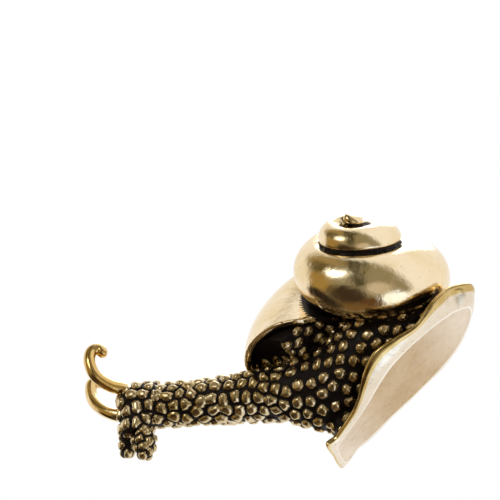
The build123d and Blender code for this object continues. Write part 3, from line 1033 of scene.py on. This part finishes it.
def pebble_tree(sizes):
    """Raises pebbles on a skin: scattered seeds, each the middle of one pebble, with a groove
    half way between neighbours. The sizes name its inputs."""
    tree = bpy.data.node_groups.new("pebbled_skin", "GeometryNodeTree")
    face = tree.interface
    face.new_socket("Geometry", in_out="INPUT", socket_type="NodeSocketGeometry")
    for name, value in sizes.items():
        kind = socket_kinds.get(type(value), "NodeSocketMaterial")
        face.new_socket(name, in_out="INPUT", socket_type=kind)
    face.new_socket("Geometry", in_out="OUTPUT", socket_type="NodeSocketGeometry")
    given = tree.nodes.new("NodeGroupInput").outputs

    def form_node(kind, inputs, **settings):
        return add_node(tree, "GeometryNode" + kind, inputs, **settings).outputs

    def value_node(operation, *values):
        return math_node(tree, operation, *values)

    def vector_node(operation, *values):
        inputs = dict(enumerate(values))
        return add_node(tree, "ShaderNodeVectorMath", inputs, operation=operation).outputs

    def scaled(vector, scale):
        inputs = {0: vector, "Scale": scale}
        return add_node(tree, "ShaderNodeVectorMath", inputs, operation="SCALE").outputs[0]

    def with_values(form, name, value, data_type):
        inputs = {"Geometry": form, "Name": name, "Value": value}
        return form_node("StoreNamedAttribute", inputs, data_type=data_type)[0]

    # how far a point lies along the neck, and from that how loosely the pebbles are set
    place = form_node("InputPosition", {})[0]
    from_root = vector_node("SUBTRACT", place, given["Neck root"])[0]
    along = vector_node("DOT_PRODUCT", from_root, given["Neck way"])["Value"]
    loose = ramp_value(tree, along, given["Close start"], given["Loose start"])
    # the mass in the shell's mouth stays bare where it rises beside the neck's root
    aside = vector_node("SUBTRACT", from_root, scaled(given["Neck way"], along))[0]
    aside = vector_node("LENGTH", aside)["Value"]
    by_neck = value_node("LESS_THAN", aside, given["Neck girth"])
    by_head = value_node("GREATER_THAN", along, given["Head start"])
    clothed = value_node("MAXIMUM", by_neck, by_head)
    past_trunk = value_node("GREATER_THAN", along, given["Neck start"])
    close_part = value_node("MULTIPLY", past_trunk, clothed)
    deep_part = value_node("LESS_THAN", along, given["Trunk start"])
    loose_part = value_node("SUBTRACT", 1.0, past_trunk)
    loose_part = value_node("MULTIPLY", loose_part, value_node("MAXIMUM", by_neck, deep_part))
    seeds = add_node(tree, "GeometryNodeJoinGeometry", {})
    for part, spacing in ((loose_part, "Loose spacing"), (close_part, "Close spacing")):
        inputs = {
            "Mesh": given["Geometry"],
            "Selection": part,
            "Distance Min": given[spacing],
            "Density Max": value_node("DIVIDE", seed_density, value_node("POWER", given[spacing], 2.0)),
            "Seed": given["Seed"],
        }
        scattered = form_node("DistributePointsOnFaces", inputs, distribute_method="POISSON")
        tree.links.new(scattered["Points"], seeds.inputs[0])
    inputs = {4: 0, 5: pebble_groups - 1, "Seed": given["Seed"]}
    group = add_node(tree, "FunctionNodeRandomValue", inputs, data_type="INT").outputs[2]
    grouped = with_values(seeds.outputs[0], "pebble_group", group, "INT")
    group_name = form_node("InputNamedAttribute", {"Name": "pebble_group"}, data_type="INT")[0]

    # a slightly wandering place, so that the grooves aren't straight
    inputs = {"Vector": place, "Scale": wander_scale, "Detail": 2.0}
    wander = add_node(tree, "ShaderNodeTexNoise", inputs).outputs["Color"]
    shifted = vector_node("SUBTRACT", wander, (0.5, 0.5, 0.5))[0]
    looked = vector_node("ADD", place, scaled(shifted, given["Wander"]))[0]
    from_looked = {"Geometry": grouped, "Sample Position": looked}
    nearest = form_node("Proximity", from_looked, target_element="POINTS")["Distance"]
    index = form_node("SampleNearest", from_looked)[0]

    def at_nearest(value, data_type):
        inputs = {"Geometry": grouped, "Value": value, "Index": index}
        return form_node("SampleIndex", inputs, data_type=data_type)[0]

    own_group = at_nearest(group_name, "INT")
    inputs = {2: given["Least rise"], 3: 1.0, "Seed": given["Rise seed"]}
    chance = add_node(tree, "FunctionNodeRandomValue", inputs, data_type="FLOAT").outputs[1]
    own_rise = at_nearest(chance, "FLOAT")
    # the neighbour is the nearest seed of any other group
    neighbour = far
    for number in range(pebble_groups):
        inputs = {**from_looked, "Group ID": group_name, "Sample Group ID": number}
        beside = form_node("Proximity", inputs, target_element="POINTS")
        # a group that happens to hold no seed counts as far away
        inputs = {0: beside["Is Valid"], 1: far, 2: beside["Distance"]}
        distance = form_node("Switch", inputs, input_type="FLOAT")[0]
        inputs = {2: own_group, 3: number}
        own = add_node(tree, "FunctionNodeCompare", inputs, data_type="INT", operation="EQUAL")
        inputs = {0: own.outputs[0], 1: distance, 2: far}
        other = form_node("Switch", inputs, input_type="FLOAT")[0]
        neighbour = value_node("MINIMUM", neighbour, other)
    to_groove = value_node("MULTIPLY", value_node("SUBTRACT", neighbour, nearest), 0.5)
    groove = ramp_value(tree, loose, 0.0, 1.0, given["Close groove"], given["Loose groove"])
    close_reach = value_node("MULTIPLY", given["Close spacing"], given["Close reach"])
    loose_reach = value_node("MULTIPLY", given["Loose spacing"], given["Loose reach"])
    reach = ramp_value(tree, loose, 0.0, 1.0, close_reach, loose_reach)
    in_groove = value_node("SUBTRACT", to_groove, groove)
    in_reach = value_node("SUBTRACT", reach, nearest)
    inner = value_node("SMOOTH_MIN", in_groove, in_reach, given["Blend"])
    inputs = {0: inner, 1: given["Shoulder"]}
    crown = add_node(tree, "ShaderNodeMath", inputs, operation="DIVIDE", use_clamp=True).outputs[0]
    dome = value_node("SINE", value_node("MULTIPLY", crown, math.pi / 2))
    height = value_node("MULTIPLY", value_node("MULTIPLY", dome, given["Rise"]), own_rise)
    # the pebbles die out where the apron meets the foot
    level = add_node(tree, "ShaderNodeSeparateXYZ", {0: place}).outputs["Z"]
    fade = ramp_value(tree, level, given["Fade low"], given["Fade high"])
    height = value_node("MULTIPLY", height, fade)
    height = value_node("SUBTRACT", height, given["Sink"])
    offset = scaled(form_node("InputNormal", {})[0], height)
    low_place = value_node("SUBTRACT", 1.0, crown)
    marked = with_values(given["Geometry"], "patina_and_shade", low_place, "FLOAT")
    raised = form_node("SetPosition", {"Geometry": marked, "Offset": offset})[0]
    real = form_node("RealizeInstances", {"Geometry": raised})[0]
    finished = form_node("SetMaterial", {"Geometry": real, "Material": given["Material"]})[0]
    add_node(tree, "NodeGroupOutput", {0: finished})
    return tree


def pebbled_mesh(name, core, voxel, sizes):
    """A smooth core, made even and fine, and raised in pebbles of the given sizes."""
    source = piece(name, core)
    even = source.modifiers.new("even", "REMESH")
    even.mode = "VOXEL"
    even.voxel_size = voxel
    soft = source.modifiers.new("soft", "SMOOTH")
    soft.factor = 0.5
    soft.iterations = even_rounds
    pebbles = source.modifiers.new("pebbles", "NODES")
    pebbles.node_group = skin_tree
    for socket in skin_tree.interface.items_tree:
        if socket.in_out == "INPUT" and socket.name in sizes:
            pebbles[socket.identifier] = sizes[socket.name]
    melted = source.modifiers.new("melted", "SMOOTH")
    melted.factor = 0.5
    melted.iterations = melt_rounds
    made = settled_mesh(source, name)
    made.shade_smooth()
    return made


def cut_mesh(mesh, name, *planes):
    """The part of a mesh behind each plane, given by a point and the way it faces, with its
    cut faces closed."""
    work = bmesh.new()
    work.from_mesh(mesh)
    for point, face_way in planes:
        cut = bmesh.ops.bisect_plane(
            work,
            geom=work.verts[:] + work.edges[:] + work.faces[:],
            plane_co=point,
            plane_no=face_way,
            clear_outer=True,
        )
        edges = [part for part in cut["geom_cut"] if isinstance(part, bmesh.types.BMEdge)]
        bmesh.ops.holes_fill(work, edges=edges)
    made = bpy.data.meshes.new(name)
    work.to_mesh(made)
    work.free()
    for material in mesh.materials:
        made.materials.append(material)
    face_outward(made)
    return made


skin_brass = brass_finish(
    "skin_brass",
    pale=(0.74, 0.61, 0.40),
    deep=(0.56, 0.43, 0.22),
    rough=0.24,
    hammer=0.05,
    pits=0.03,
    edge=(0.66, 0.88),
)
# The starts are places along the neck, from its root. A reach is a share of its spacing.
skin_sizes = {
    "Close spacing": 1.58 * mm,
    "Loose spacing": 1.85 * mm,
    "Close reach": 0.66,
    "Loose reach": 0.50,
    "Close groove": 0.07 * mm,
    "Loose groove": 0.16 * mm,
    "Close start": 2.0 * mm,
    "Loose start": -7.0 * mm,
    "Neck girth": 4.7 * mm,
    "Neck start": -1.5 * mm,
    "Head start": 11.0 * mm,
    "Trunk start": -3.4 * mm,
    "Wander": 0.55 * mm,
    "Least rise": 0.62,
    "Blend": 0.25 * mm,
    "Shoulder": 0.50 * mm,
    "Rise": 0.64 * mm,
    "Sink": 0.28 * mm,
    "Fade low": 1.2 * mm,
    "Fade high": 2.4 * mm,
    "Neck root": neck_root,
    "Neck way": neck_way,
    "Seed": 11,
    "Rise seed": 5,
    "Material": skin_brass,
}
skin_tree = pebble_tree(skin_sizes)
whole_skin = pebbled_mesh("whole_skin", body_core(), skin_remesh_size, skin_sizes)
neck_tip = neck_root + neck_way * neck_length
skin_pieces = {
    "trunk": [(neck_root, neck_way)],
    "neck": [(neck_root, -neck_way), (neck_tip, neck_way)],
    "head": [(neck_tip, -neck_way)],
}
for node, planes in skin_pieces.items():
    skin = piece(node + "_skin", cut_mesh(whole_skin, node + "_skin", *planes))
    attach(skin, "root")
    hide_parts(node)
bpy.data.meshes.remove(whole_skin)


# Mouth lobes
# Two short feelers under the muzzle, of the head's brass and cast in one with it. They have
# the same blackened skin, in smaller pebbles.
lobe_remesh_size = 0.08 * mm
lobe_sizes = {
    **skin_sizes,
    "Close spacing": 1.25 * mm,
    "Shoulder": 0.40 * mm,
    "Rise": 0.42 * mm,
    "Sink": 0.10 * mm,
}
# Each lobe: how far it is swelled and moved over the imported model's plain one
lobe_forms = {
    "left": (0.50 * mm, right * 0.2 * mm - up * 0.9 * mm),
    "right": (0.25 * mm, right * -0.6 * mm + up * 0.4 * mm),
}
for side, (amount, shift) in lobe_forms.items():
    node = "mouth_lobe_" + side
    core = bpy.data.meshes.new(node + "_core")
    work = merged_copy(node)
    swell(work, amount, shift)
    work.to_mesh(core)
    work.free()
    lobe = piece(node + "_skin", pebbled_mesh(node + "_skin", core, lobe_remesh_size, lobe_sizes))
    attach(lobe, "root")
    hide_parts(node)


# Tentacles
# Two bent rods of brass set in the crown, each hooked over at its tip and ending in a small
# rounded bulb. Polished smooth, and a warmer gold than the casting.
head_middle = Vector((25.33, 0.0, 25.68)) * mm
face_turn = math.radians(34.0)
face_way = Vector((math.cos(face_turn), math.sin(face_turn), 0))
side_way = Vector((-math.sin(face_turn), math.cos(face_turn), 0))
up_way = Vector((0, 0, 1))
# Each rod's route in millimetres from the head's middle: ahead, out to its side, and up
rods = {
    "tentacle_left": (
        1,
        [
            (-0.3, 0.3, 1.2),
            (0.3, 0.6, 3.0),
            (1.9, 1.2, 4.6),
            (2.9, 2.1, 6.5),
            (2.3, 2.6, 8.4),
            (1.0, 2.8, 9.5),
            (0.0, 2.9, 9.3),
            (-0.1, 2.9, 8.6),
            (0.5, 2.9, 8.1),
        ],
    ),
    "tentacle_right": (
        -1,
        [
            (1.2, 0.4, -0.6),
            (2.9, 0.8, 0.9),
            (3.5, 1.4, 2.6),
            (3.4, 2.1, 4.4),
            (2.9, 2.6, 6.0),
            (1.9, 3.0, 7.4),
            (0.7, 3.2, 8.4),
            (-0.3, 3.3, 8.1),
            (0.0, 3.3, 7.4),
        ],
    ),
}
# Radius of the rod at shares of its length
rod_radii = [(0.0, 1.0), (0.12, 0.92), (0.30, 0.84), (0.75, 0.79), (0.90, 0.78), (0.96, 0.82)]
rod_sides = 28
rod_steps = 10
least_tip_square = 0.0004
root_patina = 2.2 * mm
rod_brass = brass_finish(
    "rod_brass",
    pale=(0.86, 0.66, 0.36),
    deep=(0.72, 0.48, 0.16),
    rough=0.13,
    hammer=0.16,
    pits=0.02,
    edge=(0.45, 0.75),
)
for node, (side, stations) in rods.items():
    route = []
    for ahead, out, rise in stations:
        level = face_way * (ahead * mm) + side_way * (side * out * mm)
        route.append(head_middle + level + up_way * (rise * mm))
    path = smooth_path(route, rod_steps)
    lengths = np.cumsum([0] + [np.linalg.norm(b - a) for a, b in zip(path, path[1:])])
    radii = np.interp(lengths / lengths[-1], *zip(*rod_radii)) * mm
    # the tip is rounded off over its last radius
    from_tip = lengths[-1] - lengths
    tip_radius = rod_radii[-1][1] * mm
    rounded = np.clip(from_tip / tip_radius, 0, 1)
    radii = radii * np.sqrt(np.clip(1 - (1 - rounded) ** 2, least_tip_square, 1))
    mesh = ring_mesh(node + "_rod", tube_rows(path, radii, rod_sides))
    face_outward(mesh)
    # black where the rod is set in the crown
    root = Vector(path[0])
    shade = [max(0.0, 1 - (point.co - root).length / root_patina) for point in mesh.vertices]
    set_attribute(mesh, "patina_and_shade", shade)
    mesh.materials.append(rod_brass)
    rod = piece(node + "_rod", mesh)
    smoother = rod.modifiers.new("smoother", "SUBSURF")
    smoother.levels = 1
    smoother.render_levels = 1
    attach(rod, "root")
    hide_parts(node)
